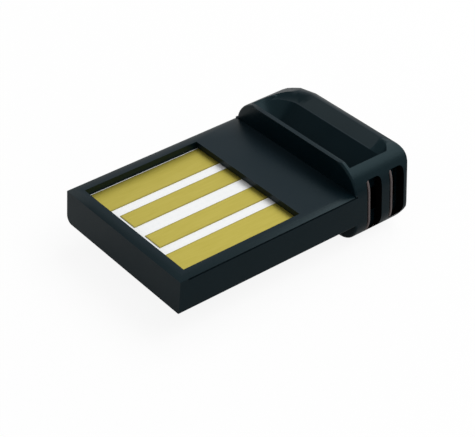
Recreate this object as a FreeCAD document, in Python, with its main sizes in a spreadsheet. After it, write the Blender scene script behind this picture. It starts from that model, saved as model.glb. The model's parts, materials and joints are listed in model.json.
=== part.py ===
import FreeCAD, Part
import math
import os
import Sketcher

# USB Bluetooth adapter with a bare-board plug: a moulded cover with a window over four
# gold contacts, a moulded tray under it, and the radio board between the two.
# Frame: +X the way the plug goes in, +Z up, origin under the middle of the bounding box.

doc = FreeCAD.newDocument("bluetooth_adapter")

# Driving dimensions, in millimetres
SIZES = {
    # Plug tongue
    "plug_width": 12.0,
    "plug_length": 12.9,
    "plug_thickness": 2.25,
    "tip_draft": 0.27,
    "bevel_width": 0.33,
    "bevel_drop": 0.1,
    "tongue_left_radius": 0.5,
    "tongue_right_radius": 0.12,
    # Head that stays outside the socket
    "head_length": 4.37,
    "head_rise": 1.75,
    "head_drop": 1.55,
    "head_front_land": 0.55,
    "shoulder_left_radius": 2.45,
    "shoulder_right_radius": 2.1,
    "keel_radius": 1.65,
    "back_left_radius": 3.7,
    "back_right_radius": 0.5,
    "back_top_radius": 0.73,
    "back_bottom_radius": 2.3,
    "front_edge_radius": 0.15,
    # Joint between cover and tray
    "groove_height": 0.12,
    "groove_depth": 0.15,
    "head_parting": 0.12,
    "wall": 0.55,
    "floor_thickness": 0.25,
    "head_floor_thickness": 0.55,
    "tip_wall": 0.55,
    "lip_thickness": 0.35,
    "cover_thickness": 0.5,
    "roof_thickness": 0.4,
    "fit_gap": 0.05,
    "cavity_corner_radius": 0.5,
    "bowl_rise": 1.35,
    "bowl_side_slope": 0.8,
    "bowl_corner_radius": 1.6,
    "ledge_width": 0.5,
    # Contact window
    "window_start": 0.785,
    "window_length": 8.405,
    "window_side_frame": 0.79,
    # Finger recess on top of the head: a scoop behind the crest, then a raised band
    "crest_thickness": 0.3,
    "crest_drop": 0.11,
    "scoop_length": 2.4,
    "scoop_depth": 1.35,
    "scoop_floor_length": 0.95,
    "scoop_left_rim": 1.45,
    "scoop_left_slope": 1.1,
    "scoop_right_rim": 0.95,
    "scoop_corner_radius": 1.95,
    "scoop_floor_radius": 0.6,
    "ridge_drop": 0.33,
    "ridge_flat": 0.13,
    "band_reach": 0.9,
    "band_left_reach": 0.25,
    "band_corner_radius": 2.6,
    "band_end_bevel": 0.45,
    "end_groove_width": 0.42,
    "end_groove_back_depth": 0.1,
    # Side slots
    "slot_start": 0.9,
    "slot_width": 1.16,
    "slot_pitch": 1.78,
    "slot_top": 0.58,
    "slot_depth": 0.7,
    "slot_left_depth": 0.9,
    "slot_foot": 0.5,
    "slot_foot_step": 0.35,
    "slot_corner_radius": 0.3,
    # Board
    "board_thickness": 0.8,
    "board_tail_inset": 2.4,
    "board_tail_gap": 0.35,
    "board_corner_radius": 0.3,
    # Contacts on the board
    "contact_thickness": 0.04,
    "contact_relief": 0.03,
    "data_contact_width": 1.55,
    "data_contact_spacing": 1.1,
    "power_contact_spacing": 0.78,
    "power_contact_margin": 0.1,
    "contact_tuck": 0.3,
    "power_contact_start": 0.165,
    "data_contact_start": 0.485,
    # Locating pins through the board
    "pin_diameter": 0.8,
    "pin_place": 1.2,
    "pin_inset": 1.65,
    "pin_tip_gap": 0.15,
    "boss_diameter": 1.5,
    "post_width": 0.5,
    "post_inset": 0.6,
}

sheet = doc.addObject("Spreadsheet::Sheet", "sizes")
for row, (alias, number) in enumerate(SIZES.items(), start=1):
    sheet.set(f"A{row}", alias)
    sheet.set(f"B{row}", str(number))
    sheet.setAlias(f"B{row}", alias)
doc.recompute()


class Size:
    """A length that keeps its number and the sheet formula that gives it."""

    def __init__(self, number, formula):
        self.number = number
        self.formula = formula

    def join(self, other, sign, number):
        text = other.formula if isinstance(other, Size) else repr(other)
        return Size(number, f"({self.formula} {sign} {text})")

    def __add__(self, other):
        return self.join(other, "+", self.number + plain(other))

    def __sub__(self, other):
        return self.join(other, "-", self.number - plain(other))

    def __mul__(self, other):
        return self.join(other, "*", self.number * plain(other))

    def __truediv__(self, other):
        return self.join(other, "/", self.number / plain(other))

    def __neg__(self):
        return Size(-self.number, f"(0 - {self.formula})")


def plain(value):
    """The number of a Size, or the number itself."""
    return value.number if isinstance(value, Size) else value


def size(alias):
    """The Size of one cell of the sheet."""
    return Size(SIZES[alias], f"sizes.{alias}")


def bind(item, path, value):
    """Ties one property of a document object to its formula."""
    item.setExpression(path, f"{value.formula} * 1 mm")


def new_body(label):
    body = doc.addObject("PartDesign::Body", label)
    body.Label = label
    return body


def corner_arc(corner, before, after, radius):
    """Tangent points and centre of the arc that rounds one corner of an outline."""
    to_before = (before - corner).normalize()
    to_after = (after - corner).normalize()
    half = to_before.getAngle(to_after) / 2
    reach = radius / math.tan(half)
    centre = corner + (to_before + to_after).normalize() * (radius / math.sin(half))
    return corner + to_before * reach, corner + to_after * reach, centre


def add_outline(sketch, corners):
    """Draws one closed outline. A corner is (x, y), or (x, y, radius) where it is round."""
    origin = -1
    first = len(sketch.Geometry)
    points = [FreeCAD.Vector(plain(corner[0]), plain(corner[1]), 0) for corner in corners]
    count = len(corners)
    ends = []
    for index, corner in enumerate(corners):
        point = points[index]
        if len(corner) == 2:
            ends.append((point, point, None))
            continue
        arc = corner_arc(point, points[index - 1], points[(index + 1) % count], plain(corner[2]))
        ends.append(arc)
    sides = []
    for index in range(count):
        start = ends[index][1]
        finish = ends[(index + 1) % count][0]
        sides.append(sketch.addGeometry(Part.LineSegment(start, finish), False))
    for index, corner in enumerate(corners):
        side_in = sides[index - 1]
        side_out = sides[index]
        start, finish, centre = ends[index]
        if centre is None:
            sketch.addConstraint(Sketcher.Constraint("Coincident", side_in, 2, side_out, 1))
            fixed = (side_out, 1)
        else:
            fixed = round_corner(sketch, side_in, side_out, start, finish, centre, corner[2])
            mark = sketch.addGeometry(Part.Point(points[index]), True)
            sketch.addConstraint(Sketcher.Constraint("PointOnObject", mark, 1, side_in))
            sketch.addConstraint(Sketcher.Constraint("PointOnObject", mark, 1, side_out))
            fixed = (mark, 1)
        for direction, value in zip("XY", corner[:2]):
            number = plain(value)
            constraint = Sketcher.Constraint(f"Distance{direction}", origin, 1, *fixed, number)
            place = sketch.addConstraint(constraint)
            if isinstance(value, Size):
                name = f"corner_{first}_{index}_{direction.lower()}"
                sketch.renameConstraint(place, name)
                bind(sketch, f"Constraints.{name}", value)


def round_corner(sketch, side_in, side_out, start, finish, centre, radius):
    """Joins two sides with an arc that is tangent to both."""
    turn = (start - centre).cross(finish - centre).z
    first, last = (start, finish) if turn > 0 else (finish, start)
    angles = [math.atan2((point - centre).y, (point - centre).x) for point in (first, last)]
    circle = Part.Circle(centre, FreeCAD.Vector(0, 0, 1), plain(radius))
    arc = sketch.addGeometry(Part.ArcOfCircle(circle, *angles), False)
    end_in, end_out = (1, 2) if turn > 0 else (2, 1)
    sketch.addConstraint(Sketcher.Constraint("Tangent", side_in, 2, arc, end_in))
    sketch.addConstraint(Sketcher.Constraint("Tangent", arc, end_out, side_out, 1))
    place = sketch.addConstraint(Sketcher.Constraint("Radius", arc, plain(radius)))
    if isinstance(radius, Size):
        name = f"radius_{arc}"
        sketch.renameConstraint(place, name)
        bind(sketch, f"Constraints.{name}", radius)


def add_circle(sketch, x, y, diameter):
    """Draws one circle."""
    centre = FreeCAD.Vector(plain(x), plain(y), 0)
    circle = sketch.addGeometry(Part.Circle(centre, FreeCAD.Vector(0, 0, 1), plain(diameter) / 2), False)
    for kind, value in (("DistanceX", x), ("DistanceY", y)):
        place = sketch.addConstraint(Sketcher.Constraint(kind, -1, 1, circle, 3, plain(value)))
        name = f"{kind.lower()}_{circle}"
        sketch.renameConstraint(place, name)
        bind(sketch, f"Constraints.{name}", value)
    place = sketch.addConstraint(Sketcher.Constraint("Diameter", circle, plain(diameter)))
    sketch.renameConstraint(place, f"diameter_{circle}")
    bind(sketch, f"Constraints.diameter_{circle}", diameter)


def new_sketch(body, name, plane, level):
    """An empty sketch on one origin plane of the body, at a level along that plane's normal."""
    sketch = body.newObject("Sketcher::SketchObject", name)
    support = [item for item in body.Origin.OriginFeatures if item.Role == f"{plane}_Plane"]
    sketch.AttachmentSupport = [(support[0], "")]
    sketch.MapMode = "FlatFace"
    # The normal of the XZ plane is -Y, so a level there counts the other way
    bind(sketch, "AttachmentOffset.Base.z", -level if plane == "XZ" else level)
    return sketch


def extrude(body, kind, name, plane, low, high, draw):
    """Pads or pockets a sketch between two levels along the normal of its plane."""
    start = high if plane == "XZ" else low
    sketch = new_sketch(body, f"{name}_sketch", plane, start)
    draw(sketch)
    feature = body.newObject(f"PartDesign::{kind}", name)
    feature.Profile = sketch
    bind(feature, "Length", high - low)
    feature.Reversed = kind == "Pocket"
    sketch.Visibility = False
    return feature


def pad(body, name, plane, low, high, *outlines):
    def draw(sketch):
        for outline in outlines:
            add_outline(sketch, outline)
    return extrude(body, "Pad", name, plane, low, high, draw)


def pocket(body, name, plane, low, high, *outlines):
    def draw(sketch):
        for outline in outlines:
            add_outline(sketch, outline)
    return extrude(body, "Pocket", name, plane, low, high, draw)


def discs(body, kind, name, low, high, circles):
    def draw(sketch):
        for x, y, diameter in circles:
            add_circle(sketch, x, y, diameter)
    return extrude(body, kind, name, "XY", low, high, draw)


def rectangle(x_low, x_high, y_low, y_high):
    """Corners of a plain rectangle."""
    return [(x_low, y_low), (x_high, y_low), (x_high, y_high), (x_low, y_high)]


def edges_where(feature, test):
    """Names of the edges of a feature whose middle point passes the test."""
    doc.recompute()
    names = []
    for index, edge in enumerate(feature.Shape.Edges, start=1):
        if test(edge, edge.CenterOfMass):
            names.append(f"Edge{index}")
    return names


def round_edges(body, name, feature, names, radius):
    """Fillets the named edges of a feature."""
    fillet = body.newObject("PartDesign::Fillet", name)
    fillet.Base = (feature, names)
    bind(fillet, "Radius", radius)
    return fillet


# Places that both mouldings and the board share
half_length = (size("plug_length") + size("tip_draft") + size("head_length")) / 2
tip_x = half_length - size("tip_draft")
shoulder_x = tip_x - size("plug_length")
root_x = shoulder_x - size("front_edge_radius")
back_x = -half_length
side_y = size("plug_width") / 2
plug_bottom = size("head_drop")
plug_top = plug_bottom + size("plug_thickness")
head_top = plug_top + size("head_rise")
head_bottom = plug_bottom - size("head_drop")
rim_z = plug_top - size("bevel_drop")
groove_z = rim_z - size("groove_height")
parting_z = plug_top + size("head_parting")
board_top = plug_top - size("cover_thickness")
board_bottom = board_top - size("board_thickness")
tray_y = side_y - size("wall")
lip_y = tray_y - size("fit_gap")
tray_front_x = tip_x - size("tip_wall")
tray_back_x = back_x + size("wall")
lip_back_x = tray_back_x + size("fit_gap")
tray_round = size("back_left_radius") - size("wall")
lip_round = tray_round - size("fit_gap")
ledge_y = tray_y - size("ledge_width")
tail_y = side_y - size("board_tail_inset")
tail_back = tray_back_x + size("board_tail_gap")
window_front = tip_x - size("window_start")
window_back = window_front - size("window_length")
window_y = side_y - size("window_side_frame")
pin_x = shoulder_x + size("pin_place")
pin_y = side_y - size("pin_inset")
crest_back = shoulder_x - size("crest_thickness")
# How far a cutting outline reaches past the material
OVER = 2.0


def plug_form(body):
    """Outer form of the tongue, with its drafted tip and shallow top bevels."""
    pad(body, "tongue", "XZ", -side_y, side_y, [
        (root_x, plug_bottom),
        (tip_x + size("tip_draft"), plug_bottom),
        (tip_x, rim_z),
        (tip_x - size("bevel_width"), plug_top),
        (root_x, plug_top),
    ])
    bevel_y = side_y - size("bevel_width")
    frame = rectangle(-side_y - OVER, side_y + OVER, plug_bottom - OVER, plug_top + OVER)
    section = [
        (-side_y, plug_bottom, size("tongue_left_radius")),
        (side_y, plug_bottom, size("tongue_right_radius")),
        (side_y, rim_z),
        (bevel_y, plug_top),
        (-bevel_y, plug_top),
        (-side_y, rim_z),
    ]
    pocket(body, "tongue_section", "YZ", shoulder_x, half_length + OVER, frame, section)


def head_form(body):
    """Outer form of the head: round shoulders and keel, round corners in plan and at the back."""
    block = pad(body, "head", "YZ", back_x, shoulder_x, [
        (-side_y, head_bottom, size("keel_radius")),
        (side_y, head_bottom, size("keel_radius")),
        (side_y, head_top, size("shoulder_right_radius")),
        (-side_y, head_top, size("shoulder_left_radius")),
    ])
    front_edges = edges_where(block, lambda edge, middle: (
        abs(middle.x - shoulder_x.number) < 0.001 and edge.BoundBox.XLength < 0.001))
    round_edges(body, "head_front_round", block, front_edges, size("front_edge_radius"))
    wrap_x = shoulder_x - size("head_front_land")
    pocket(body, "head_plan", "XY", head_bottom - OVER, head_top + OVER, [
        (wrap_x, -side_y),
        (back_x, -side_y, size("back_left_radius")),
        (back_x, side_y, size("back_right_radius")),
        (wrap_x, side_y),
        (wrap_x, side_y + OVER),
        (back_x - OVER, side_y + OVER),
        (back_x - OVER, -side_y - OVER),
        (wrap_x, -side_y - OVER),
    ])
    pocket(body, "head_back", "XZ", -side_y - OVER, side_y + OVER, [
        (wrap_x, head_bottom),
        (back_x, head_bottom, size("back_bottom_radius")),
        (back_x, head_top, size("back_top_radius")),
        (wrap_x, head_top),
        (wrap_x, head_top + OVER),
        (back_x - OVER, head_top + OVER),
        (back_x - OVER, head_bottom - OVER),
        (wrap_x, head_bottom - OVER),
    ])


def side_slots(body):
    """Upright slots with rounded corners: two in the flat right side, one in the left side."""
    slot_top = plug_top + size("slot_top")
    radius = size("slot_corner_radius")
    inner_right = side_y - size("slot_depth")
    inner_left = size("slot_left_depth") - side_y
    for number in range(2):
        front = shoulder_x - size("slot_start") - size("slot_pitch") * number
        rear = front - size("slot_width")
        foot = head_bottom + size("slot_foot") + size("slot_foot_step") * number
        outline = [(rear, foot, radius), (front, foot, radius),
                   (front, slot_top, radius), (rear, slot_top, radius)]
        pocket(body, f"slot_right_{number}", "XZ", inner_right, side_y + OVER, outline)
        if number == 0:
            pocket(body, "slot_left", "XZ", -side_y - OVER, inner_left, outline)


def cut_loft(body, name, plane, low, low_outline, high, high_outline):
    """Cuts the straight loft between two outlines that lie at two levels of a plane."""
    low_sketch = new_sketch(body, f"{name}_low", plane, low)
    add_outline(low_sketch, low_outline)
    high_sketch = new_sketch(body, f"{name}_high", plane, high)
    add_outline(high_sketch, high_outline)
    loft = body.newObject("PartDesign::SubtractiveLoft", name)
    loft.Profile = low_sketch
    loft.Sections = [high_sketch]
    loft.Ruled = True


def cut_finger_recess(body):
    """Scoop behind the crest, and over it a band that rises from a ridge to the back rim."""
    pocket(body, "crest_top", "XZ", -side_y - OVER, side_y + OVER, [
        (crest_back, head_top - size("crest_drop")),
        (crest_back, head_top + OVER),
        (shoulder_x + OVER, head_top + OVER),
        (shoulder_x + OVER, head_top - size("crest_drop")),
    ])
    floor_z = head_top - size("scoop_depth")
    ridge_z = head_top - size("ridge_drop")
    ridge_x = crest_back - size("scoop_length")
    mouth_x = ridge_x + size("ridge_flat")
    floor_x = crest_back - size("scoop_floor_length")
    left = size("scoop_left_rim") - side_y
    right = side_y - size("scoop_right_rim")
    floor_left = left + size("scoop_left_slope")
    floor = [(crest_back, floor_left), (crest_back, right), (floor_x, right),
             (floor_x, floor_left, size("scoop_floor_radius"))]
    mouth = [(crest_back, left), (crest_back, right), (mouth_x, right),
             (mouth_x, left, size("scoop_corner_radius"))]
    cut_loft(body, "scoop", "XY", floor_z, floor, ridge_z, mouth)
    # The band wraps round the left corner and stops short of the right rim
    band_right = right - size("end_groove_width")
    band_left = left - size("band_left_reach")
    band_x = ridge_x - size("band_reach")
    ridge = [(crest_back, left), (crest_back, band_right), (ridge_x, band_right),
             (ridge_x, left, size("scoop_corner_radius") + size("ridge_flat"))]
    rim = [(crest_back, band_left), (crest_back, band_right), (band_x, band_right),
           (band_x, band_left, size("band_corner_radius"))]
    cut_loft(body, "band", "XY", ridge_z, ridge, head_top, rim)
    pocket(body, "recess_mouth", "XY", ridge_z, head_top + OVER,
           rectangle(mouth_x, crest_back, left + size("scoop_corner_radius"), right))
    # The band ends in a bevel, with a groove beside it that runs out at the back rim
    bevel_y = band_right - size("band_end_bevel")

    def groove_section(edge_z, depth):
        return [(bevel_y, edge_z), (band_right, edge_z - depth), (right, edge_z - depth),
                (right, head_top + OVER), (bevel_y, head_top + OVER)]
    cut_loft(body, "band_end", "YZ", band_x, groove_section(head_top, size("end_groove_back_depth")),
             mouth_x, groove_section(ridge_z, size("band_end_bevel")))


def make_top_cover():
    """Cover: frame around the window, plain ledge, and the top of the head with its recess."""
    body = new_body("top_cover")
    head_form(body)
    plug_form(body)
    # Under the frame and the ledge only the skirt that holds the board down stays
    low = head_bottom - OVER
    behind = back_x - OVER
    ahead = half_length + OVER
    pocket(body, "under_board", "XY", low, board_top, rectangle(behind, ahead, -side_y - OVER, side_y + OVER))
    groove_y = side_y - size("groove_depth")
    for side, (near, far) in enumerate(((lip_y, side_y + OVER), (-side_y - OVER, -lip_y))):
        pocket(body, f"skirt_{side}", "XY", low, groove_z, rectangle(behind, ahead, near, far))
    for side, (near, far) in enumerate(((groove_y, side_y + OVER), (-side_y - OVER, -groove_y))):
        pocket(body, f"groove_{side}", "XY", low, rim_z, rectangle(behind, ahead, near, far))
    pocket(body, "over_tip_wall", "XY", low, rim_z,
           rectangle(tray_front_x - size("fit_gap"), ahead, -side_y - OVER, side_y + OVER))
    # In the head the cover stops at the parting line, apart from a lip inside the tray
    pocket(body, "head_parting", "XY", low, parting_z, [
        (root_x, -lip_y),
        (lip_back_x, -lip_y, lip_round),
        (lip_back_x, lip_y, size("cavity_corner_radius")),
        (root_x, lip_y),
        (root_x, side_y + OVER),
        (behind, side_y + OVER),
        (behind, -side_y - OVER),
        (root_x, -side_y - OVER),
    ])
    roof_z = head_top - size("scoop_depth") - size("roof_thickness")
    inside_y = lip_y - size("lip_thickness")
    inside_back = lip_back_x + size("lip_thickness")
    inside_front = shoulder_x - size("wall")
    pocket(body, "head_cavity", "XY", low, roof_z, [
        (inside_front, -inside_y),
        (inside_front, inside_y),
        (inside_back, inside_y, size("cavity_corner_radius")),
        (inside_back, -inside_y, lip_round - size("lip_thickness")),
    ])
    pocket(body, "window", "XY", board_top - OVER, plug_top + OVER,
           rectangle(window_back, window_front, -window_y, window_y))
    # The contacts run on under the window's far edge, in a shallow relief
    pocket(body, "contact_relief", "XY", board_top - OVER,
           board_top + size("contact_thickness") + size("contact_relief"),
           rectangle(window_back - size("contact_tuck") - size("fit_gap"), window_back, -window_y, window_y))
    cut_finger_recess(body)
    side_slots(body)
    # Locating pins that pass through the board into the tray
    pin_tip = plug_bottom + size("floor_thickness") + size("pin_tip_gap")
    pins = [(pin_x, side, size("pin_diameter")) for side in (pin_y, -pin_y)]
    discs(body, "Pad", "pins", pin_tip, plug_top - size("bevel_drop"), pins)
    return body


def make_bottom_shell():
    """Tray: outer sides and tip wall of the tongue, and the lower part of the head."""
    body = new_body("bottom_shell")
    head_form(body)
    plug_form(body)
    high = head_top + OVER
    behind = back_x - OVER
    ahead = half_length + OVER
    wide = side_y + OVER
    pocket(body, "over_tongue", "XY", groove_z, high, rectangle(root_x, tray_front_x, -wide, wide))
    pocket(body, "over_tip", "XY", rim_z, high, rectangle(tray_front_x - size("tip_wall"), ahead, -wide, wide))
    pocket(body, "over_head", "XY", parting_z, high, rectangle(behind, root_x, -wide, wide))
    # The board lies on ledges along both sides, over a shallow space for its parts
    pocket(body, "board_seat", "XY", board_bottom, high,
           rectangle(shoulder_x - size("wall"), tray_front_x, -tray_y, tray_y))
    inner_floor = plug_bottom + size("floor_thickness")
    pocket(body, "parts_space", "XY", inner_floor, high,
           rectangle(shoulder_x - size("wall") * 2, tray_front_x - size("ledge_width"), -ledge_y, ledge_y))
    # The inside of the head follows its outside, with a slope all round the floor
    head_floor = head_bottom + size("head_floor_thickness")
    bowl_z = head_floor + size("bowl_rise")
    bowl_back = tray_back_x + size("bowl_rise")
    bowl_y = tray_y - size("bowl_side_slope")
    inside_front = shoulder_x - size("wall")
    radius = size("cavity_corner_radius")
    bowl_floor = [(inside_front, -bowl_y), (bowl_back, -bowl_y, size("bowl_corner_radius")),
                  (bowl_back, bowl_y, radius), (inside_front, bowl_y)]
    bowl_rim = [(inside_front, -tray_y), (tray_back_x, -tray_y, tray_round),
                (tray_back_x, tray_y, radius), (inside_front, tray_y)]
    cut_loft(body, "head_bowl", "XY", head_floor, bowl_floor, bowl_z, bowl_rim)
    pocket(body, "head_cavity", "XY", bowl_z, high, bowl_rim)
    side_slots(body)
    # Bosses for the cover's pins, and posts under the tail of the board
    pins = [(pin_x, side, size("boss_diameter")) for side in (pin_y, -pin_y)]
    discs(body, "Pad", "bosses", inner_floor, board_bottom, pins)
    holes = [(x, y, size("pin_diameter") + size("fit_gap")) for x, y, diameter in pins]
    discs(body, "Pocket", "boss_holes", inner_floor, board_bottom + OVER, holes)
    posts = []
    for side in (1, -1):
        low = (tail_y - size("post_inset")) * side - size("post_width") / 2
        posts.append(rectangle(tail_back, tail_back + size("post_width"), low, low + size("post_width")))
    pad(body, "posts", "XY", head_floor, board_bottom, *posts)
    return body


def make_circuit_board():
    """Board: full width under the contacts, with a narrow tail that runs into the head."""
    body = new_body("circuit_board")
    front = tray_front_x - size("fit_gap")
    wide = tray_y - size("fit_gap")
    radius = size("board_corner_radius")
    pad(body, "board", "XY", board_bottom, board_top, [
        (front, -wide, radius),
        (front, wide, radius),
        (shoulder_x, wide, radius),
        (shoulder_x, tail_y, radius),
        (tail_back, tail_y, radius),
        (tail_back, -tail_y, radius),
        (shoulder_x, -tail_y, radius),
        (shoulder_x, -wide, radius),
    ])
    holes = [(pin_x, side, size("pin_diameter") + size("fit_gap") * 2)
             for side in (pin_y, -pin_y)]
    discs(body, "Pocket", "pin_holes", board_bottom - OVER, board_top + OVER, holes)
    return body


def make_contact(label, side, kind):
    """One gold contact on the upper face of the board, from its start to under the cover."""
    body = new_body(label)
    near = size("data_contact_spacing") / 2
    far = near + size("data_contact_width")
    if kind == "power":
        near = far + size("power_contact_spacing")
        far = window_y - size("power_contact_margin")
    low, high = (near, far) if side > 0 else (-far, -near)
    pad(body, "contact", "XY", board_top, board_top + size("contact_thickness"),
        rectangle(window_back - size("contact_tuck"), window_front - size(f"{kind}_contact_start"), low, high))
    return body


# Parts on the underside of the board: length along X, width along Y, height. Then the place:
# what it is measured from, how far ahead of it, the side it keeps to, and how far from there
CHIPS = {
    "radio_chip": (4.0, 4.0, 0.6, "shoulder", 2.3, 0, 0.0),
    "memory_chip": (2.0, 3.0, 0.5, "shoulder", 5.5, 0, 0.0),
    "regulator": (1.5, 1.5, 0.45, "tip", -4.4, 1, -1.25),
    "surge_diode": (1.6, 1.2, 0.5, "tip", -2.2, 0, 0.0),
}
PASSIVES = {
    "ferrite_bead": (1.6, 0.8, 0.6, "tip", -2.5, 1, -1.05),
    "data_resistor_1": (1.0, 0.5, 0.35, "tip", -3.7, 0, -0.7),
    "data_resistor_2": (1.0, 0.5, 0.35, "tip", -3.7, 0, 0.7),
    "supply_capacitor": (1.6, 0.8, 0.6, "shoulder", 3.2, 1, -0.6),
    "crystal_capacitor_1": (1.0, 0.5, 0.5, "shoulder", 3.1, -1, 0.5),
    "crystal_capacitor_2": (1.0, 0.5, 0.5, "shoulder", 7.5, -1, 1.2),
    "radio_capacitor_1": (1.0, 0.5, 0.5, "shoulder", 3.2, 1, -1.55),
    "radio_capacitor_2": (1.0, 0.5, 0.5, "shoulder", 3.1, -1, 1.3),
    "radio_capacitor_3": (1.0, 0.5, 0.5, "shoulder", 7.1, 0, 0.0),
    "matching_inductor": (1.0, 0.5, 0.5, "shoulder", -0.7, 0, -1.0),
    "matching_capacitor": (1.0, 0.5, 0.5, "shoulder", -0.7, 0, 1.0),
}
STARTS = {"tip": tip_x, "shoulder": shoulder_x, "tail": tail_back}
LEAD_PITCH = 0.55
LEAD_ROOT = 0.1
LEAD_REACH = 0.06
LEAD_HEIGHT = 0.12
MARK_INSET = 0.35
MARK_DIAMETER = 0.28
MARK_DEPTH = 0.06
# How far the end caps of the ceramic parts stand proud of the block, and their share of the half length
CAP_SKIN = 0.03
CAP_SHARE = 0.5
CRYSTAL_TRAY = (2.5, 2.0, 0.3)
CRYSTAL_LID = (2.2, 1.7, 0.55)
CRYSTAL_LID_RADIUS = 0.2
CRYSTAL_PLACE = ("shoulder", 5.6, -1, 1.2)
ANTENNA_BLOCK = (1.2, 3.2, 1.0)
ANTENNA_CAP = 0.32
ANTENNA_PLACE = ("tail", 0.85, 0, 0.0)


def under_board(body, start, ahead, side, across):
    """Turns a part over and sets it against the underside of the board."""
    body.Placement.Rotation = FreeCAD.Rotation(FreeCAD.Vector(1, 0, 0), 180)
    bind(body, "Placement.Base.x", STARTS[start] + ahead)
    bind(body, "Placement.Base.y", ledge_y * side + across)
    bind(body, "Placement.Base.z", board_bottom)


def number_size(number):
    """A length that belongs to one bought-in part alone."""
    return Size(number, repr(number))


def half_sizes(length, width, height):
    """Half length, half width and full height of a bought-in part."""
    return number_size(length / 2), number_size(width / 2), number_size(height)


def make_chip(label, length, width, height, *place):
    """Flat moulded package with leads along two sides and a mark at the first one."""
    body = new_body(label)
    x, y, z = half_sizes(length, width, height)
    base = number_size(0.0)
    pad(body, "package", "XY", base, z, rectangle(-x, x, -y, y))
    leads = int(width / LEAD_PITCH)
    lead = number_size(LEAD_PITCH / 4)
    strips = []
    for index in range(leads):
        centre = number_size(LEAD_PITCH * (index - (leads - 1) / 2))
        strips.append(rectangle(x - LEAD_ROOT, x + LEAD_REACH, centre - lead, centre + lead))
        strips.append(rectangle(-x - LEAD_REACH, -x + LEAD_ROOT, centre - lead, centre + lead))
    pad(body, "leads", "XY", base, number_size(LEAD_HEIGHT), *strips)
    mark = (-x + MARK_INSET, -y + MARK_INSET, number_size(MARK_DIAMETER))
    discs(body, "Pocket", "mark", z - MARK_DEPTH, z + MARK_DEPTH, [mark])
    under_board(body, *place)
    return body


def make_passive(label, length, width, height, *place):
    """Ceramic block with a metal cap at each end."""
    body = new_body(label)
    x, y, z = half_sizes(length, width, height)
    base = number_size(0.0)
    pad(body, "block", "XY", base, z - CAP_SKIN,
        rectangle(-x + CAP_SKIN, x - CAP_SKIN, -y + CAP_SKIN, y - CAP_SKIN))
    cap = x * CAP_SHARE
    pad(body, "caps", "XY", base, z, rectangle(cap, x, -y, y), rectangle(-x, -cap, -y, y))
    under_board(body, *place)
    return body


def make_crystal():
    """Ceramic tray with a metal lid."""
    body = new_body("crystal")
    radius = number_size(CRYSTAL_LID_RADIUS)
    base = number_size(0.0)
    x, y, z = half_sizes(*CRYSTAL_TRAY)
    pad(body, "tray", "XY", base, z, rectangle(-x, x, -y, y))
    x, y, z = half_sizes(*CRYSTAL_LID)
    pad(body, "lid", "XY", base, z, [(-x, -y, radius), (x, -y, radius), (x, y, radius), (-x, y, radius)])
    under_board(body, *CRYSTAL_PLACE)
    return body


def make_antenna():
    """Ceramic chip antenna across the tail of the board, with a metal cap at each end."""
    body = new_body("chip_antenna")
    x, y, z = half_sizes(*ANTENNA_BLOCK)
    base = number_size(0.0)
    pad(body, "block", "XY", base, z - CAP_SKIN,
        rectangle(-x + CAP_SKIN, x - CAP_SKIN, -y + CAP_SKIN, y - CAP_SKIN))
    cap = y - ANTENNA_CAP
    pad(body, "caps", "XY", base, z, rectangle(-x, x, cap, y), rectangle(-x, x, -y, -cap))
    under_board(body, *ANTENNA_PLACE)
    return body


pieces = [make_top_cover(), make_bottom_shell(), make_circuit_board()]
pieces.append(make_contact("contact_supply", 1, "power"))
pieces.append(make_contact("contact_data_minus", 1, "data"))
pieces.append(make_contact("contact_data_plus", -1, "data"))
pieces.append(make_contact("contact_ground", -1, "power"))
for label, values in CHIPS.items():
    pieces.append(make_chip(label, *values))
for label, values in PASSIVES.items():
    pieces.append(make_passive(label, *values))
pieces.append(make_crystal())
pieces.append(make_antenna())

doc.recompute()
for item in doc.Objects:
    if "Invalid" in item.State or "Error" in item.State:
        raise RuntimeError(f"{item.Label} failed: {item.State}")
os.makedirs("parts", exist_ok=True)
for piece in pieces:
    shape = piece.Shape
    if shape.isNull() or not shape.isValid() or len(shape.Solids) != 1:
        raise RuntimeError(f"{piece.Label} is not one valid solid")
    shape.exportStep(f"parts/{piece.Label}.step")
print(len(pieces), "pieces written")
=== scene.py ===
import json
import math

import bmesh
import bpy
from mathutils import Matrix, Vector


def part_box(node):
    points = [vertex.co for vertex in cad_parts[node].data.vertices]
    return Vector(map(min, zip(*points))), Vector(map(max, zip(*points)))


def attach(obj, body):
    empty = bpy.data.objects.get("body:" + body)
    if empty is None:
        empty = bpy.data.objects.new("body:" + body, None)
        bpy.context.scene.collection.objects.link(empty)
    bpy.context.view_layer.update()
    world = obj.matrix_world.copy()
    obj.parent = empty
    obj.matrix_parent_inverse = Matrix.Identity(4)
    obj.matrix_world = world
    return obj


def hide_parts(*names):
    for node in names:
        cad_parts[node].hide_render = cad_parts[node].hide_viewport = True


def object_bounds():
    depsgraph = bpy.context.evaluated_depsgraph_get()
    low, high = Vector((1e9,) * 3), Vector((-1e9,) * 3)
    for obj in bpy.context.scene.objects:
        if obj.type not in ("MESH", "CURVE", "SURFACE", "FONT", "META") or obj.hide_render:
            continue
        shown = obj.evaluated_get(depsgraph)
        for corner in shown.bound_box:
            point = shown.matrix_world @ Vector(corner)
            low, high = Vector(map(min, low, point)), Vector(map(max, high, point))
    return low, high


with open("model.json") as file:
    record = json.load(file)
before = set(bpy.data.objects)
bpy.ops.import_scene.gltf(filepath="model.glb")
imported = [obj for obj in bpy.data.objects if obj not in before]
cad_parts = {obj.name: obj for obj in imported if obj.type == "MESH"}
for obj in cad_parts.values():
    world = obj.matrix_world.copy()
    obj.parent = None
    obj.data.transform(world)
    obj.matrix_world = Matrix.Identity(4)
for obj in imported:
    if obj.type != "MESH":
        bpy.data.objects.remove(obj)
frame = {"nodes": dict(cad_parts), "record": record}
cad_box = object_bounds()
scene = bpy.context.scene
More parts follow.
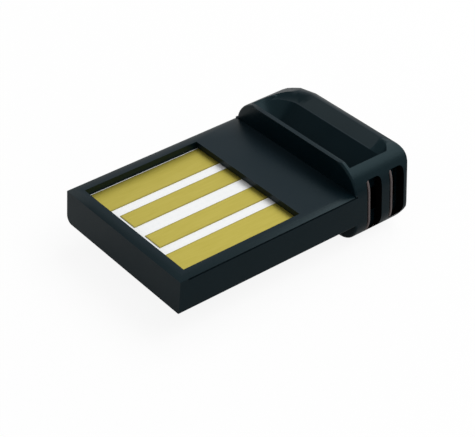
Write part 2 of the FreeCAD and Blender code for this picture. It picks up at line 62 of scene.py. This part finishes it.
scene.view_settings.view_transform = "Standard"

# The tray: one injection moulding in black ABS that closes the tip, the sides and the
# floor of the tongue and forms the lower part of the head. The board and the cover lie
# in it. Its edges are broken a little, as a mould leaves them.
MM = 0.001
BLACK_ABS = "#020f14"
FLOW_ABS = "#05141a"
# Painted light: the level top faces take this lighter grey in place of the light that falls on them from
# above
PAINTED_TOP_LIGHT = "#19242a"
ABS_REFLECTION = (0.6, 0.92, 1.0, 1.0)
ABS_SPECULAR = 0.145
ABS_ROUGHNESS = 0.3
# A face turns into a level top as the upright part of its normal goes from the first to the second
LEVEL_TOP = (0.988, 0.9995)
MATT_SHINE = 0.42
# Glossiest and dullest flow marks, as shares of the roughness
FLOW_GLOSS = (0.85, 1.2)
FLOW_MARK_MM = 2.6
SPARK_GRAIN_MM = 0.05
RELIEF_MM = 0.01
BROKEN_EDGE_MM = 0.055
WELD_MM = 0.0005
SLIVER_MM = 0.0002
FLAT_DEGREES = 0.2
SMOOTH_DEGREES = 30
SHARP_DEGREES = 35


def linear(hex_code):
    """The linear RGBA of an sRGB hex colour."""
    parts = [int(hex_code[i:i + 2], 16) / 255 for i in (1, 3, 5)]
    return tuple(c / 12.92 if c <= 0.04045 else ((c + 0.055) / 1.055) ** 2.4 for c in parts) + (1.0,)


def add_node(tree, kind, settings=None, **links):
    """Adds a node with its settings; an input is named, or numbered as i0, i1 and so on."""
    node = tree.nodes.new(kind)
    for name, value in (settings or {}).items():
        setattr(node, name, value)
    for name, value in links.items():
        numbered = name[0] == "i" and name[1:].isdigit()
        socket = node.inputs[int(name[1:])] if numbered else node.inputs[name.replace("_", " ")]
        if isinstance(value, bpy.types.NodeSocket):
            tree.links.new(value, socket)
        else:
            socket.default_value = value
    return node


def new_material(name):
    """A node material with an unlinked shader: the material, its tree and the shader."""
    material = bpy.data.materials.new(name)
    material.use_nodes = True
    tree = material.node_tree
    tree.nodes.clear()
    shader = add_node(tree, "ShaderNodeBsdfPrincipled")
    add_node(tree, "ShaderNodeOutputMaterial", Surface=shader.outputs["BSDF"])
    return material, tree, shader


def moulded_abs(name):
    """Moulded ABS: a near-black body whose look is the soft, slightly cool reflection of the
    room. Flow marks vary the gloss, and a spark-eroded mould leaves a very fine grain. The
    level top faces get painted light: a lighter, dark grey body that stands in for the light
    from above, with less than half the reflection."""
    material, tree, shader = new_material(name)
    shader.inputs["Specular Tint"].default_value = ABS_REFLECTION
    coordinates = add_node(tree, "ShaderNodeTexCoord")
    place = coordinates.outputs["Object"]
    flow = add_node(tree, "ShaderNodeTexNoise", Vector=place, Scale=1 / (FLOW_MARK_MM * MM), Detail=2.0)
    polished = add_node(tree, "ShaderNodeMix", {"data_type": "RGBA"}, Factor=flow.outputs["Fac"],
                        i6=linear(BLACK_ABS), i7=linear(FLOW_ABS))
    facing = add_node(tree, "ShaderNodeSeparateXYZ", Vector=coordinates.outputs["Normal"])
    top = add_node(tree, "ShaderNodeMapRange", Value=facing.outputs["Z"],
                   From_Min=LEVEL_TOP[0], From_Max=LEVEL_TOP[1])
    # The level tops get painted light in their body colour, and less reflection
    body = add_node(tree, "ShaderNodeMix", {"data_type": "RGBA"}, Factor=top.outputs["Result"],
                    i6=polished.outputs[2], i7=linear(PAINTED_TOP_LIGHT))
    shine = add_node(tree, "ShaderNodeMapRange", Value=top.outputs["Result"],
                     To_Min=ABS_SPECULAR, To_Max=ABS_SPECULAR * MATT_SHINE)
    tree.links.new(shine.outputs["Result"], shader.inputs["Specular IOR Level"])
    gloss = add_node(tree, "ShaderNodeMapRange", Value=flow.outputs["Fac"],
                     To_Min=ABS_ROUGHNESS * FLOW_GLOSS[0], To_Max=ABS_ROUGHNESS * FLOW_GLOSS[1])
    grain = add_node(tree, "ShaderNodeTexNoise", Vector=place, Scale=1 / (SPARK_GRAIN_MM * MM), Detail=3.0)
    bump = add_node(tree, "ShaderNodeBump", Strength=0.06, Distance=RELIEF_MM * MM,
                    Height=grain.outputs["Fac"])
    tree.links.new(body.outputs[2], shader.inputs["Base Color"])
    tree.links.new(gloss.outputs["Result"], shader.inputs["Roughness"])
    tree.links.new(bump.outputs["Normal"], shader.inputs["Normal"])
    return material


def merged_copy(node, name):
    """A welded copy of a CAD node as an object of its own, with its flat faces whole."""
    mesh = frame["nodes"][node].data.copy()
    mesh.name = name
    bm = bmesh.new()
    bm.from_mesh(mesh)
    bmesh.ops.remove_doubles(bm, verts=bm.verts, dist=WELD_MM * MM)
    bmesh.ops.dissolve_degenerate(bm, edges=bm.edges, dist=SLIVER_MM * MM)
    bmesh.ops.dissolve_limit(bm, angle_limit=math.radians(FLAT_DEGREES), verts=bm.verts, edges=bm.edges)
    for face in bm.faces:
        face.smooth = True
    for edge in bm.edges:
        if len(edge.link_faces) == 2:
            edge.smooth = edge.calc_face_angle(0.0) < math.radians(SMOOTH_DEGREES)
    bm.to_mesh(mesh)
    bm.free()
    piece = bpy.data.objects.new(name, mesh)
    scene.collection.objects.link(piece)
    return piece


def make_plain(piece):
    """Turns a piece's modifiers into a plain mesh."""
    graph = bpy.context.evaluated_depsgraph_get()
    mesh = bpy.data.meshes.new_from_object(piece.evaluated_get(graph), depsgraph=graph)
    mesh.name = piece.name
    piece.modifiers.clear()
    piece.data = mesh


def break_edges(piece, width_mm):
    """Gives the sharp edges of a piece a narrow round."""
    bevel = piece.modifiers.new("broken edges", "BEVEL")
    bevel.width = width_mm * MM
    bevel.segments = 2
    bevel.limit_method = "ANGLE"
    bevel.angle_limit = math.radians(SHARP_DEGREES)
    bevel.harden_normals = True
    make_plain(piece)


# Painted shade: the faces that line the slots take these near-black tones in place of the shade deep inside
# them
SLOT_SHADE_BLACK = "#030202"
SLOT_SHADE_RUB = "#070505"
DRAG_MARK_MM = 0.2


def painted_slot_shade(name):
    """Painted shade for the inner faces of the slots: a near-black, dull skin, darker than the
    polished outside, that stands in for the shade deep in the slots, mottled by the slides of the mould."""
    material, tree, shader = new_material(name)
    place = add_node(tree, "ShaderNodeTexCoord").outputs["Object"]
    drag = add_node(tree, "ShaderNodeTexNoise", Vector=place, Scale=1 / (DRAG_MARK_MM * MM), Detail=2.0)
    tone = add_node(tree, "ShaderNodeMix", {"data_type": "RGBA"}, Factor=drag.outputs["Fac"],
                    i6=linear(SLOT_SHADE_BLACK), i7=linear(SLOT_SHADE_RUB))
    shader.inputs["Specular IOR Level"].default_value = 0.02
    shader.inputs["Roughness"].default_value = 0.8
    tree.links.new(tone.outputs[2], shader.inputs["Base Color"])
    return material


# Back and front of each slot in the right side, along the plug, and its foot and top
SLOTS_MM = ((-6.46, -5.3, 0.5, 4.38), (-8.24, -7.08, 0.85, 4.38))
SLOT_MARGIN_MM = 0.02
SLOT_MOUTH_MM = 5.94
# The walls of a slot turn away from the side, so their normals have less than this across the plug
SLOT_WALL_TURN = 0.4


def darken_slots(piece, material):
    """Gives the faces that line the slots a material of their own, the painted slot shade."""
    piece.data.materials.append(material)
    for face in piece.data.polygons:
        x, y, z = face.center / MM
        inside = any(back - SLOT_MARGIN_MM <= x <= front + SLOT_MARGIN_MM
                     and foot - SLOT_MARGIN_MM <= z <= top + SLOT_MARGIN_MM
                     for back, front, foot, top in SLOTS_MM)
        if inside and 0.0 < y < SLOT_MOUTH_MM and abs(face.normal.y) < SLOT_WALL_TURN:
            face.material_index = 1


def dress(node, name, material, edge_mm=0.0, ease=None):
    """Replaces a CAD node with its smooth copy in the given material. Before the edges of the
    copy are broken, ease may soften it."""
    piece = merged_copy(node, name)
    if ease:
        ease(piece)
    if edge_mm:
        break_edges(piece, edge_mm)
    # The round of an edge stays within the node's own box
    low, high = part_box(node)
    for vertex in piece.data.vertices:
        for axis in range(3):
            vertex.co[axis] = min(max(vertex.co[axis], low[axis]), high[axis])
    piece.data.materials.clear()
    piece.data.materials.append(material)
    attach(piece, "root")
    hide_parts(node)
    return piece


slot_shade = painted_slot_shade("painted shade on moulded ABS, slot faces")
tray = dress("bottom_shell", "tray_moulding", moulded_abs("moulded black ABS, tray"),
             BROKEN_EDGE_MM)
darken_slots(tray, slot_shade)

# The board: glass laminate under white solder mask, routed to its outline and drilled
# for the cover's pins. The mask is smooth and satin over a faint weave.
MASK_WHITE = "#fafbfb"
MASK_SHADE = "#f6f8f9"
# Real cloth has about this spacing, and the wave texture repeats every 0.314 m at scale 1
WEAVE_MM = 0.45
WAVE_SPACING_M = 0.314
# The mask gives the eye an even white, with the cloth under it just to be guessed
board_white, tree, shader = new_material("white solder mask on glass laminate")
place = add_node(tree, "ShaderNodeTexCoord").outputs["Object"]
threads = []
for direction in ("X", "Y"):
    thread = add_node(tree, "ShaderNodeTexWave", {"bands_direction": direction}, Vector=place,
                      Scale=WAVE_SPACING_M / (WEAVE_MM * MM), Distortion=0.6, Detail=1.0)
    threads.append(thread.outputs["Fac"])
weave = add_node(tree, "ShaderNodeMath", {"operation": "MAXIMUM"}, i0=threads[0], i1=threads[1])
mask_tone = add_node(tree, "ShaderNodeMix", {"data_type": "RGBA"}, Factor=weave.outputs[0],
                     i6=linear(MASK_SHADE), i7=linear(MASK_WHITE))
bump = add_node(tree, "ShaderNodeBump", Strength=0.08, Distance=RELIEF_MM * MM, Height=weave.outputs[0])
shader.inputs["Roughness"].default_value = 0.35
tree.links.new(mask_tone.outputs[2], shader.inputs["Base Color"])
tree.links.new(bump.outputs["Normal"], shader.inputs["Normal"])
dress("circuit_board", "board_laminate", board_white)

# The contacts: copper lands under flash gold, etched on the board where the socket's
# springs touch. They are pale and satin, with a darker line painted along their edges as the shade of an
# edge that rolls off.
# Painted shade: the darker line along the edges of each contact
GOLD_EDGE_SHADE = "#968b3a"
GOLD_DARK = "#ab9e3b"
GOLD_LIGHT = "#b8ab4e"
EDGE_SHADE_MM = 0.1
EDGE_SHADE_CORE = 0.4
BRUSH_MARK_MM = 1.4
BRUSH_STRETCH = 9.0


def flash_gold(name, length_mm, width_mm):
    """Thin gold over copper: a satin metal, brushed along the plug by the plating line, with a painted
    shade line around its edges.
    """
    material, tree, shader = new_material(name)
    coordinates = add_node(tree, "ShaderNodeTexCoord")
    inside = add_node(tree, "ShaderNodeSeparateXYZ", Vector=coordinates.outputs["Generated"])
    margins = []
    for axis, extent_mm in (("X", length_mm), ("Y", width_mm)):
        other = add_node(tree, "ShaderNodeMath", {"operation": "SUBTRACT"}, i0=1.0, i1=inside.outputs[axis])
        nearest = add_node(tree, "ShaderNodeMath", {"operation": "MINIMUM"},
                           i0=inside.outputs[axis], i1=other.outputs[0])
        margins.append(add_node(tree, "ShaderNodeMath", {"operation": "MULTIPLY"},
                                i0=nearest.outputs[0], i1=extent_mm).outputs[0])
    margin = add_node(tree, "ShaderNodeMath", {"operation": "MINIMUM"}, i0=margins[0], i1=margins[1])
    edge_shade = add_node(tree, "ShaderNodeMapRange", {"interpolation_type": "SMOOTHSTEP"},
                   Value=margin.outputs[0], From_Min=EDGE_SHADE_MM * EDGE_SHADE_CORE, From_Max=EDGE_SHADE_MM)
    stretch = add_node(tree, "ShaderNodeMapping", Vector=coordinates.outputs["Object"],
                       Scale=(1.0, BRUSH_STRETCH, 1.0))
    brushing = add_node(tree, "ShaderNodeTexNoise", Vector=stretch.outputs[0],
                        Scale=1 / (BRUSH_MARK_MM * MM), Detail=4.0)
    tone = add_node(tree, "ShaderNodeMix", {"data_type": "RGBA"}, Factor=brushing.outputs["Fac"],
                    i6=linear(GOLD_DARK), i7=linear(GOLD_LIGHT))
    face = add_node(tree, "ShaderNodeMix", {"data_type": "RGBA"}, Factor=edge_shade.outputs["Result"],
                    i6=linear(GOLD_EDGE_SHADE), i7=tone.outputs[2])
    bump = add_node(tree, "ShaderNodeBump", Strength=0.05, Distance=RELIEF_MM * MM,
                    Height=brushing.outputs["Fac"])
    shader.inputs["Metallic"].default_value = 0.75
    shader.inputs["Roughness"].default_value = 0.42
    tree.links.new(face.outputs[2], shader.inputs["Base Color"])
    tree.links.new(bump.outputs["Normal"], shader.inputs["Normal"])
    return material


for node in ("contact_supply", "contact_data_minus", "contact_data_plus", "contact_ground"):
    low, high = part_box(node)
    gold = flash_gold(f"flash gold, {node}", (high[0] - low[0]) / MM, (high[1] - low[1]) / MM)
    dress(node, f"gold_{node}", gold)

# The parts under the board: moulded chips, ceramic blocks with tinned ends and a
# crystal with a plated lid, all soldered flat to the laminate.
TINNED = "#b9bbb8"
SPECK_LIGHT = 1.25
# Real finish, body colour, roughness, grain in mm, share of the length tinned at each end
PART_FINISHES = {
    "chip_resin": ("moulded epoxy resin", "#1a1b1d", 0.6, 0.08, 0.02),
    "capacitor_ceramic": ("fired capacitor ceramic", "#a5865e", 0.5, 0.12, 0.24),
    "resistor_black": ("glass-coated resistor film", "#191a1c", 0.35, 0.2, 0.24),
    "ferrite_grey": ("sintered ferrite", "#4d4e51", 0.55, 0.1, 0.24),
    "crystal_metal": ("satin plated lid", "#c6c4bc", 0.3, 0.3, 0.0),
    "antenna_ceramic": ("glazed antenna ceramic", "#d9dcd6", 0.45, 0.15, 0.0),
}


def part_body(name, colour, roughness, grain_mm, end_share):
    """Resin, ceramic or plating: a dry, faintly speckled body, with bright dipped tin at its
    ends where it has them."""
    material, tree, shader = new_material(name)
    coordinates = add_node(tree, "ShaderNodeTexCoord")
    specks = add_node(tree, "ShaderNodeTexNoise", Vector=coordinates.outputs["Object"],
                      Scale=1 / (grain_mm * MM), Detail=3.0)
    light = tuple(min(1.0, c * SPECK_LIGHT) for c in linear(colour)[:3]) + (1.0,)
    body = add_node(tree, "ShaderNodeMix", {"data_type": "RGBA"}, Factor=specks.outputs["Fac"],
                    i6=linear(colour), i7=light)
    along = add_node(tree, "ShaderNodeSeparateXYZ", Vector=coordinates.outputs["Generated"])
    middle = add_node(tree, "ShaderNodeMath", {"operation": "SUBTRACT"}, i0=along.outputs["X"], i1=0.5)
    distance = add_node(tree, "ShaderNodeMath", {"operation": "ABSOLUTE"}, i0=middle.outputs[0])
    ends = add_node(tree, "ShaderNodeMath", {"operation": "GREATER_THAN"},
                    i0=distance.outputs[0], i1=0.5 - end_share)
    face = add_node(tree, "ShaderNodeMix", {"data_type": "RGBA"}, Factor=ends.outputs[0],
                    i6=body.outputs[2], i7=linear(TINNED))
    bump = add_node(tree, "ShaderNodeBump", Strength=0.1, Distance=RELIEF_MM * MM,
                    Height=specks.outputs["Fac"])
    tree.links.new(face.outputs[2], shader.inputs["Base Color"])
    tree.links.new(ends.outputs[0], shader.inputs["Metallic"])
    tree.links.new(bump.outputs["Normal"], shader.inputs["Normal"])
    shader.inputs["Roughness"].default_value = roughness
    return material


part_finish = {slot: part_body(*values) for slot, values in PART_FINISHES.items()}
for row in frame["record"]["subparts"]:
    if row["material_slot"] in part_finish:
        dress(row["node"], f"part_{row['node']}", part_finish[row["material_slot"]])

# The cover: one moulding in the same black ABS. It frames the contacts, runs back as a
# plain ledge and rises into the head with its finger recess. Its lip and pins snap and
# weld it into the tray.

# Middle of the eased corner, how far the ease reaches, and how far it moves the middle
BACK_CORNER_MM = (-8.31, -4.06, 5.49)
BACK_CORNER_REACH_MM = 1.3
BACK_CORNER_PULL_MM = (0.135, 0.135, -0.09)


def soften_back_corner(piece):
    """Eases the crease where the left shoulder of the head runs into its back."""
    centre, pull = Vector(BACK_CORNER_MM) * MM, Vector(BACK_CORNER_PULL_MM) * MM
    bm = bmesh.new()
    bm.from_mesh(piece.data)
    # The long faces are parted where the ease ends, so that their far ends stay flat
    for share in (0.5, 1.0):
        edge_of_ease = centre + Vector((0.0, share * BACK_CORNER_REACH_MM * MM, 0.0))
        bmesh.ops.bisect_plane(bm, geom=bm.verts[:] + bm.edges[:] + bm.faces[:],
                               plane_co=edge_of_ease, plane_no=(0.0, 1.0, 0.0))
    for vertex in bm.verts:
        reach = (vertex.co - centre).length / (BACK_CORNER_REACH_MM * MM)
        if reach < 1.0:
            vertex.co += pull * (1.0 - reach ** 2) ** 2
    bm.to_mesh(piece.data)
    bm.free()


cover = dress("top_cover", "cover_moulding", moulded_abs("moulded black ABS, cover"),
              BROKEN_EDGE_MM, soften_back_corner)
darken_slots(cover, slot_shade)

# The slot edges: a narrow round rod stands just inside the tipward edge of each slot
# in the right side, from its top to its foot, and carries a painted highlight of that edge. It is
# lighter than the shell and follows the round of the side down into the keel.
SIDE_Y_MM = 6.0
KEEL_RADIUS_MM = 1.65
SHOULDER_RADIUS_MM = 2.1
SLOT_TOP_MM = 4.3
BEAD_INSET_MM = 0.1
BEAD_RADIUS_MM = 0.085
BEAD_SIDES = 12
BEAD_STEPS = 24
# Painted highlight: the warm greys of the rod that stands for the lit edge of each slot
BEAD_HIGHLIGHT_DARK = "#544a49"
BEAD_HIGHLIGHT_LIGHT = "#675a59"
BEAD_HIGHLIGHT_MOTTLE_MM = 0.5
# Middle of each bead along the plug, and where it ends at the foot of its slot
BEADS_MM = ((-5.5, 0.62), (-7.28, 0.97))


def bead_path(x, foot):
    """Points down the right side of the head: round shoulder, straight wall, round keel."""
    reach = SIDE_Y_MM - BEAD_INSET_MM
    top = cad_box[1][2] / MM
    points = []
    for step in range(BEAD_STEPS + 1):
        z = SLOT_TOP_MM + (foot - SLOT_TOP_MM) * step / BEAD_STEPS
        inward = 0.0
        shoulder_z = top - SHOULDER_RADIUS_MM
        if z > shoulder_z:
            inward = SHOULDER_RADIUS_MM - math.sqrt(SHOULDER_RADIUS_MM ** 2 - (z - shoulder_z) ** 2)
        if z < KEEL_RADIUS_MM:
            inward = KEEL_RADIUS_MM - math.sqrt(KEEL_RADIUS_MM ** 2 - (KEEL_RADIUS_MM - z) ** 2)
        points.append((x * MM, (reach - inward) * MM, z * MM))
    return points


def bead_tree(material):
    """Geometry nodes that draw a round bead along the edges of a mesh."""
    tree = bpy.data.node_groups.new("slot bead", "GeometryNodeTree")
    tree.interface.new_socket("Path", in_out="INPUT", socket_type="NodeSocketGeometry")
    radius = tree.interface.new_socket("Bead Radius", in_out="INPUT", socket_type="NodeSocketFloat")
    sides = tree.interface.new_socket("Profile Sides", in_out="INPUT", socket_type="NodeSocketInt")
    tree.interface.new_socket("Bead", in_out="OUTPUT", socket_type="NodeSocketGeometry")
    given = add_node(tree, "NodeGroupInput")
    path = add_node(tree, "GeometryNodeMeshToCurve", Mesh=given.outputs["Path"])
    profile = add_node(tree, "GeometryNodeCurvePrimitiveCircle", Resolution=given.outputs["Profile Sides"],
                       Radius=given.outputs["Bead Radius"])
    bead = add_node(tree, "GeometryNodeCurveToMesh", Curve=path.outputs[0],
                    Profile_Curve=profile.outputs[0], Fill_Caps=True)
    smooth = add_node(tree, "GeometryNodeSetShadeSmooth", Geometry=bead.outputs[0])
    real = add_node(tree, "GeometryNodeRealizeInstances", Geometry=smooth.outputs[0])
    painted = add_node(tree, "GeometryNodeSetMaterial", Geometry=real.outputs[0], Material=material)
    add_node(tree, "NodeGroupOutput", Bead=painted.outputs[0])
    return tree, radius.identifier, sides.identifier


# A painted highlight: the rod gives the eye a thin, even, warm grey line along the slot's edge
slot_edge_highlight, tree, shader = new_material("painted highlight, slot edge")
place = add_node(tree, "ShaderNodeTexCoord").outputs["Object"]
highlight_mottle = add_node(tree, "ShaderNodeTexNoise", Vector=place, Scale=1 / (BEAD_HIGHLIGHT_MOTTLE_MM * MM), Detail=2.0)
tone = add_node(tree, "ShaderNodeMix", {"data_type": "RGBA"}, Factor=highlight_mottle.outputs["Fac"],
                i6=linear(BEAD_HIGHLIGHT_DARK), i7=linear(BEAD_HIGHLIGHT_LIGHT))
shader.inputs["Roughness"].default_value = 0.45
tree.links.new(tone.outputs[2], shader.inputs["Base Color"])
bead_nodes, radius_input, sides_input = bead_tree(slot_edge_highlight)
for number, (x, foot) in enumerate(BEADS_MM, start=1):
    points = bead_path(x, foot)
    mesh = bpy.data.meshes.new(f"slot_edge_{number}")
    mesh.from_pydata(points, [(index, index + 1) for index in range(len(points) - 1)], [])
    bead = bpy.data.objects.new(f"slot_edge_{number}", mesh)
    scene.collection.objects.link(bead)
    modifier = bead.modifiers.new("bead", "NODES")
    modifier.node_group = bead_nodes
    modifier[radius_input] = BEAD_RADIUS_MM * MM
    modifier[sides_input] = BEAD_SIDES
    make_plain(bead)
    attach(bead, "root")

# The studio: a pale floor and an even white room with one darker corner, and one wide
# soft box above and behind the head. Seen directly the room and the floor are white,
# and the floor keeps a faint shadow.
FLOOR_PAINT = "#c6c6c6"
FLOOR_HALF_M = 0.6
SHADOW_SHARE = 0.1
REFLECTED_PAINT_SHARE = 0.9
ROOM_LIGHT = 0.5
CORNER_DIRECTION = (0.437, -0.666, 0.597)
CORNER_LIGHT = 0.3
# The corner darkens from the first to the second cosine of the angle to its direction
CORNER_FADE = (0.75, 0.98)
SOFT_BOX_M = (0.55, 0.25)
SOFT_BOX_DISTANCE_M = 0.4
SOFT_BOX_RADIANCE = 3.0
SOFT_BOX_AZIMUTH = 165
SOFT_BOX_ELEVATION = 55
WHITE = (1.0, 1.0, 1.0, 1.0)

floor_paint = bpy.data.materials.new("pale studio floor")
floor_paint.use_nodes = True
tree = floor_paint.node_tree
tree.nodes.clear()
rays = add_node(tree, "ShaderNodeLightPath")
seen = add_node(tree, "ShaderNodeMath", {"operation": "MAXIMUM"},
                i0=rays.outputs["Is Camera Ray"], i1=rays.outputs["Is Transmission Ray"])
paint = add_node(tree, "ShaderNodeBsdfDiffuse", Color=linear(FLOOR_PAINT))
bare = add_node(tree, "ShaderNodeBsdfDiffuse", Color=WHITE)
white = add_node(tree, "ShaderNodeEmission", Color=WHITE, Strength=1.0)
direct = add_node(tree, "ShaderNodeMixShader", i0=SHADOW_SHARE, i1=white.outputs[0], i2=bare.outputs[0])
reflected = add_node(tree, "ShaderNodeMixShader", i0=REFLECTED_PAINT_SHARE,
                     i1=white.outputs[0], i2=paint.outputs[0])
glossy = add_node(tree, "ShaderNodeMixShader", i0=rays.outputs["Is Glossy Ray"],
                  i1=paint.outputs[0], i2=reflected.outputs[0])
floor_mix = add_node(tree, "ShaderNodeMixShader", i0=seen.outputs[0], i1=glossy.outputs[0],
                     i2=direct.outputs[0])
add_node(tree, "ShaderNodeOutputMaterial", Surface=floor_mix.outputs[0])
floor_mesh = bpy.data.meshes.new("floor")
floor_z = cad_box[0][2]
floor_mesh.from_pydata([(-FLOOR_HALF_M, -FLOOR_HALF_M, floor_z), (FLOOR_HALF_M, -FLOOR_HALF_M, floor_z),
                        (FLOOR_HALF_M, FLOOR_HALF_M, floor_z), (-FLOOR_HALF_M, FLOOR_HALF_M, floor_z)],
                       [], [(0, 1, 2, 3)])
floor_mesh.materials.append(floor_paint)
floor = bpy.data.objects.new("floor", floor_mesh)
scene.collection.objects.link(floor)

room = bpy.data.worlds.new("white room")
room.use_nodes = True
scene.world = room
tree = room.node_tree
tree.nodes.clear()
rays = add_node(tree, "ShaderNodeLightPath")
seen = add_node(tree, "ShaderNodeMath", {"operation": "MAXIMUM"},
                i0=rays.outputs["Is Camera Ray"], i1=rays.outputs["Is Transmission Ray"])
strength = add_node(tree, "ShaderNodeMapRange", Value=rays.outputs["Is Glossy Ray"],
                    To_Min=ROOM_LIGHT, To_Max=1.0)
direction = add_node(tree, "ShaderNodeTexCoord")
facing = add_node(tree, "ShaderNodeVectorMath", {"operation": "DOT_PRODUCT"},
                  i0=direction.outputs["Generated"], i1=CORNER_DIRECTION)
corner = add_node(tree, "ShaderNodeMapRange", {"interpolation_type": "SMOOTHSTEP"},
                  Value=facing.outputs["Value"], From_Min=CORNER_FADE[0], From_Max=CORNER_FADE[1],
                  To_Min=1.0, To_Max=CORNER_LIGHT)
light = add_node(tree, "ShaderNodeMath", {"operation": "MULTIPLY"},
                 i0=strength.outputs["Result"], i1=corner.outputs["Result"])
walls = add_node(tree, "ShaderNodeBackground", Color=WHITE, Strength=light.outputs[0])
white = add_node(tree, "ShaderNodeBackground", Color=WHITE, Strength=1.0)
room_mix = add_node(tree, "ShaderNodeMixShader", i0=seen.outputs[0], i1=walls.outputs[0],
                    i2=white.outputs[0])
add_node(tree, "ShaderNodeOutputWorld", Surface=room_mix.outputs[0])

lamp = bpy.data.lights.new("soft box", "AREA")
lamp.shape = "RECTANGLE"
lamp.size, lamp.size_y = SOFT_BOX_M
lamp.energy = SOFT_BOX_RADIANCE * math.pi * SOFT_BOX_M[0] * SOFT_BOX_M[1]
soft_box = bpy.data.objects.new("soft_box", lamp)
scene.collection.objects.link(soft_box)
azimuth, elevation = math.radians(SOFT_BOX_AZIMUTH), math.radians(SOFT_BOX_ELEVATION)
towards = Vector((math.cos(elevation) * math.cos(azimuth), math.cos(elevation) * math.sin(azimuth),
                  math.sin(elevation)))
soft_box.location = towards * SOFT_BOX_DISTANCE_M
soft_box.rotation_euler = towards.to_track_quat("Z", "Y").to_euler()

# The camera stands off the tip's right corner, above the contacts, and is rolled a
# little, as in the photograph. Its place is measured from the tip at the contact face.
CAMERA_MM = (37.901, 65.475, 54.021)
CAMERA_BACK = (0.4710, 0.6663, 0.5781)
CAMERA_RIGHT = (-0.7981, 0.6011, -0.0425)
CAMERA_LENS_MM = 120.08
SENSOR_MM = 36.0
TIP_DRAFT_MM = 0.27
CONTACT_FACE_MM = 3.8
NEAREST_SEEN_M = 0.005
tip = Vector((cad_box[1][0] - TIP_DRAFT_MM * MM, 0.0, CONTACT_FACE_MM * MM))
back = Vector(CAMERA_BACK).normalized()
right = (Vector(CAMERA_RIGHT) - Vector(CAMERA_RIGHT).dot(back) * back).normalized()
up = back.cross(right)
stand = Matrix.Identity(4)
for column, axis in enumerate((right, up, back)):
    for row in range(3):
        stand[row][column] = axis[row]
stand.translation = Vector(CAMERA_MM) * MM + tip
camera_data = bpy.data.cameras.new("camera")
camera_data.lens = CAMERA_LENS_MM
camera_data.sensor_width = SENSOR_MM
camera_data.clip_start = NEAREST_SEEN_M
camera = bpy.data.objects.new("camera", camera_data)
scene.collection.objects.link(camera)
camera.matrix_world = stand
scene.camera = camera
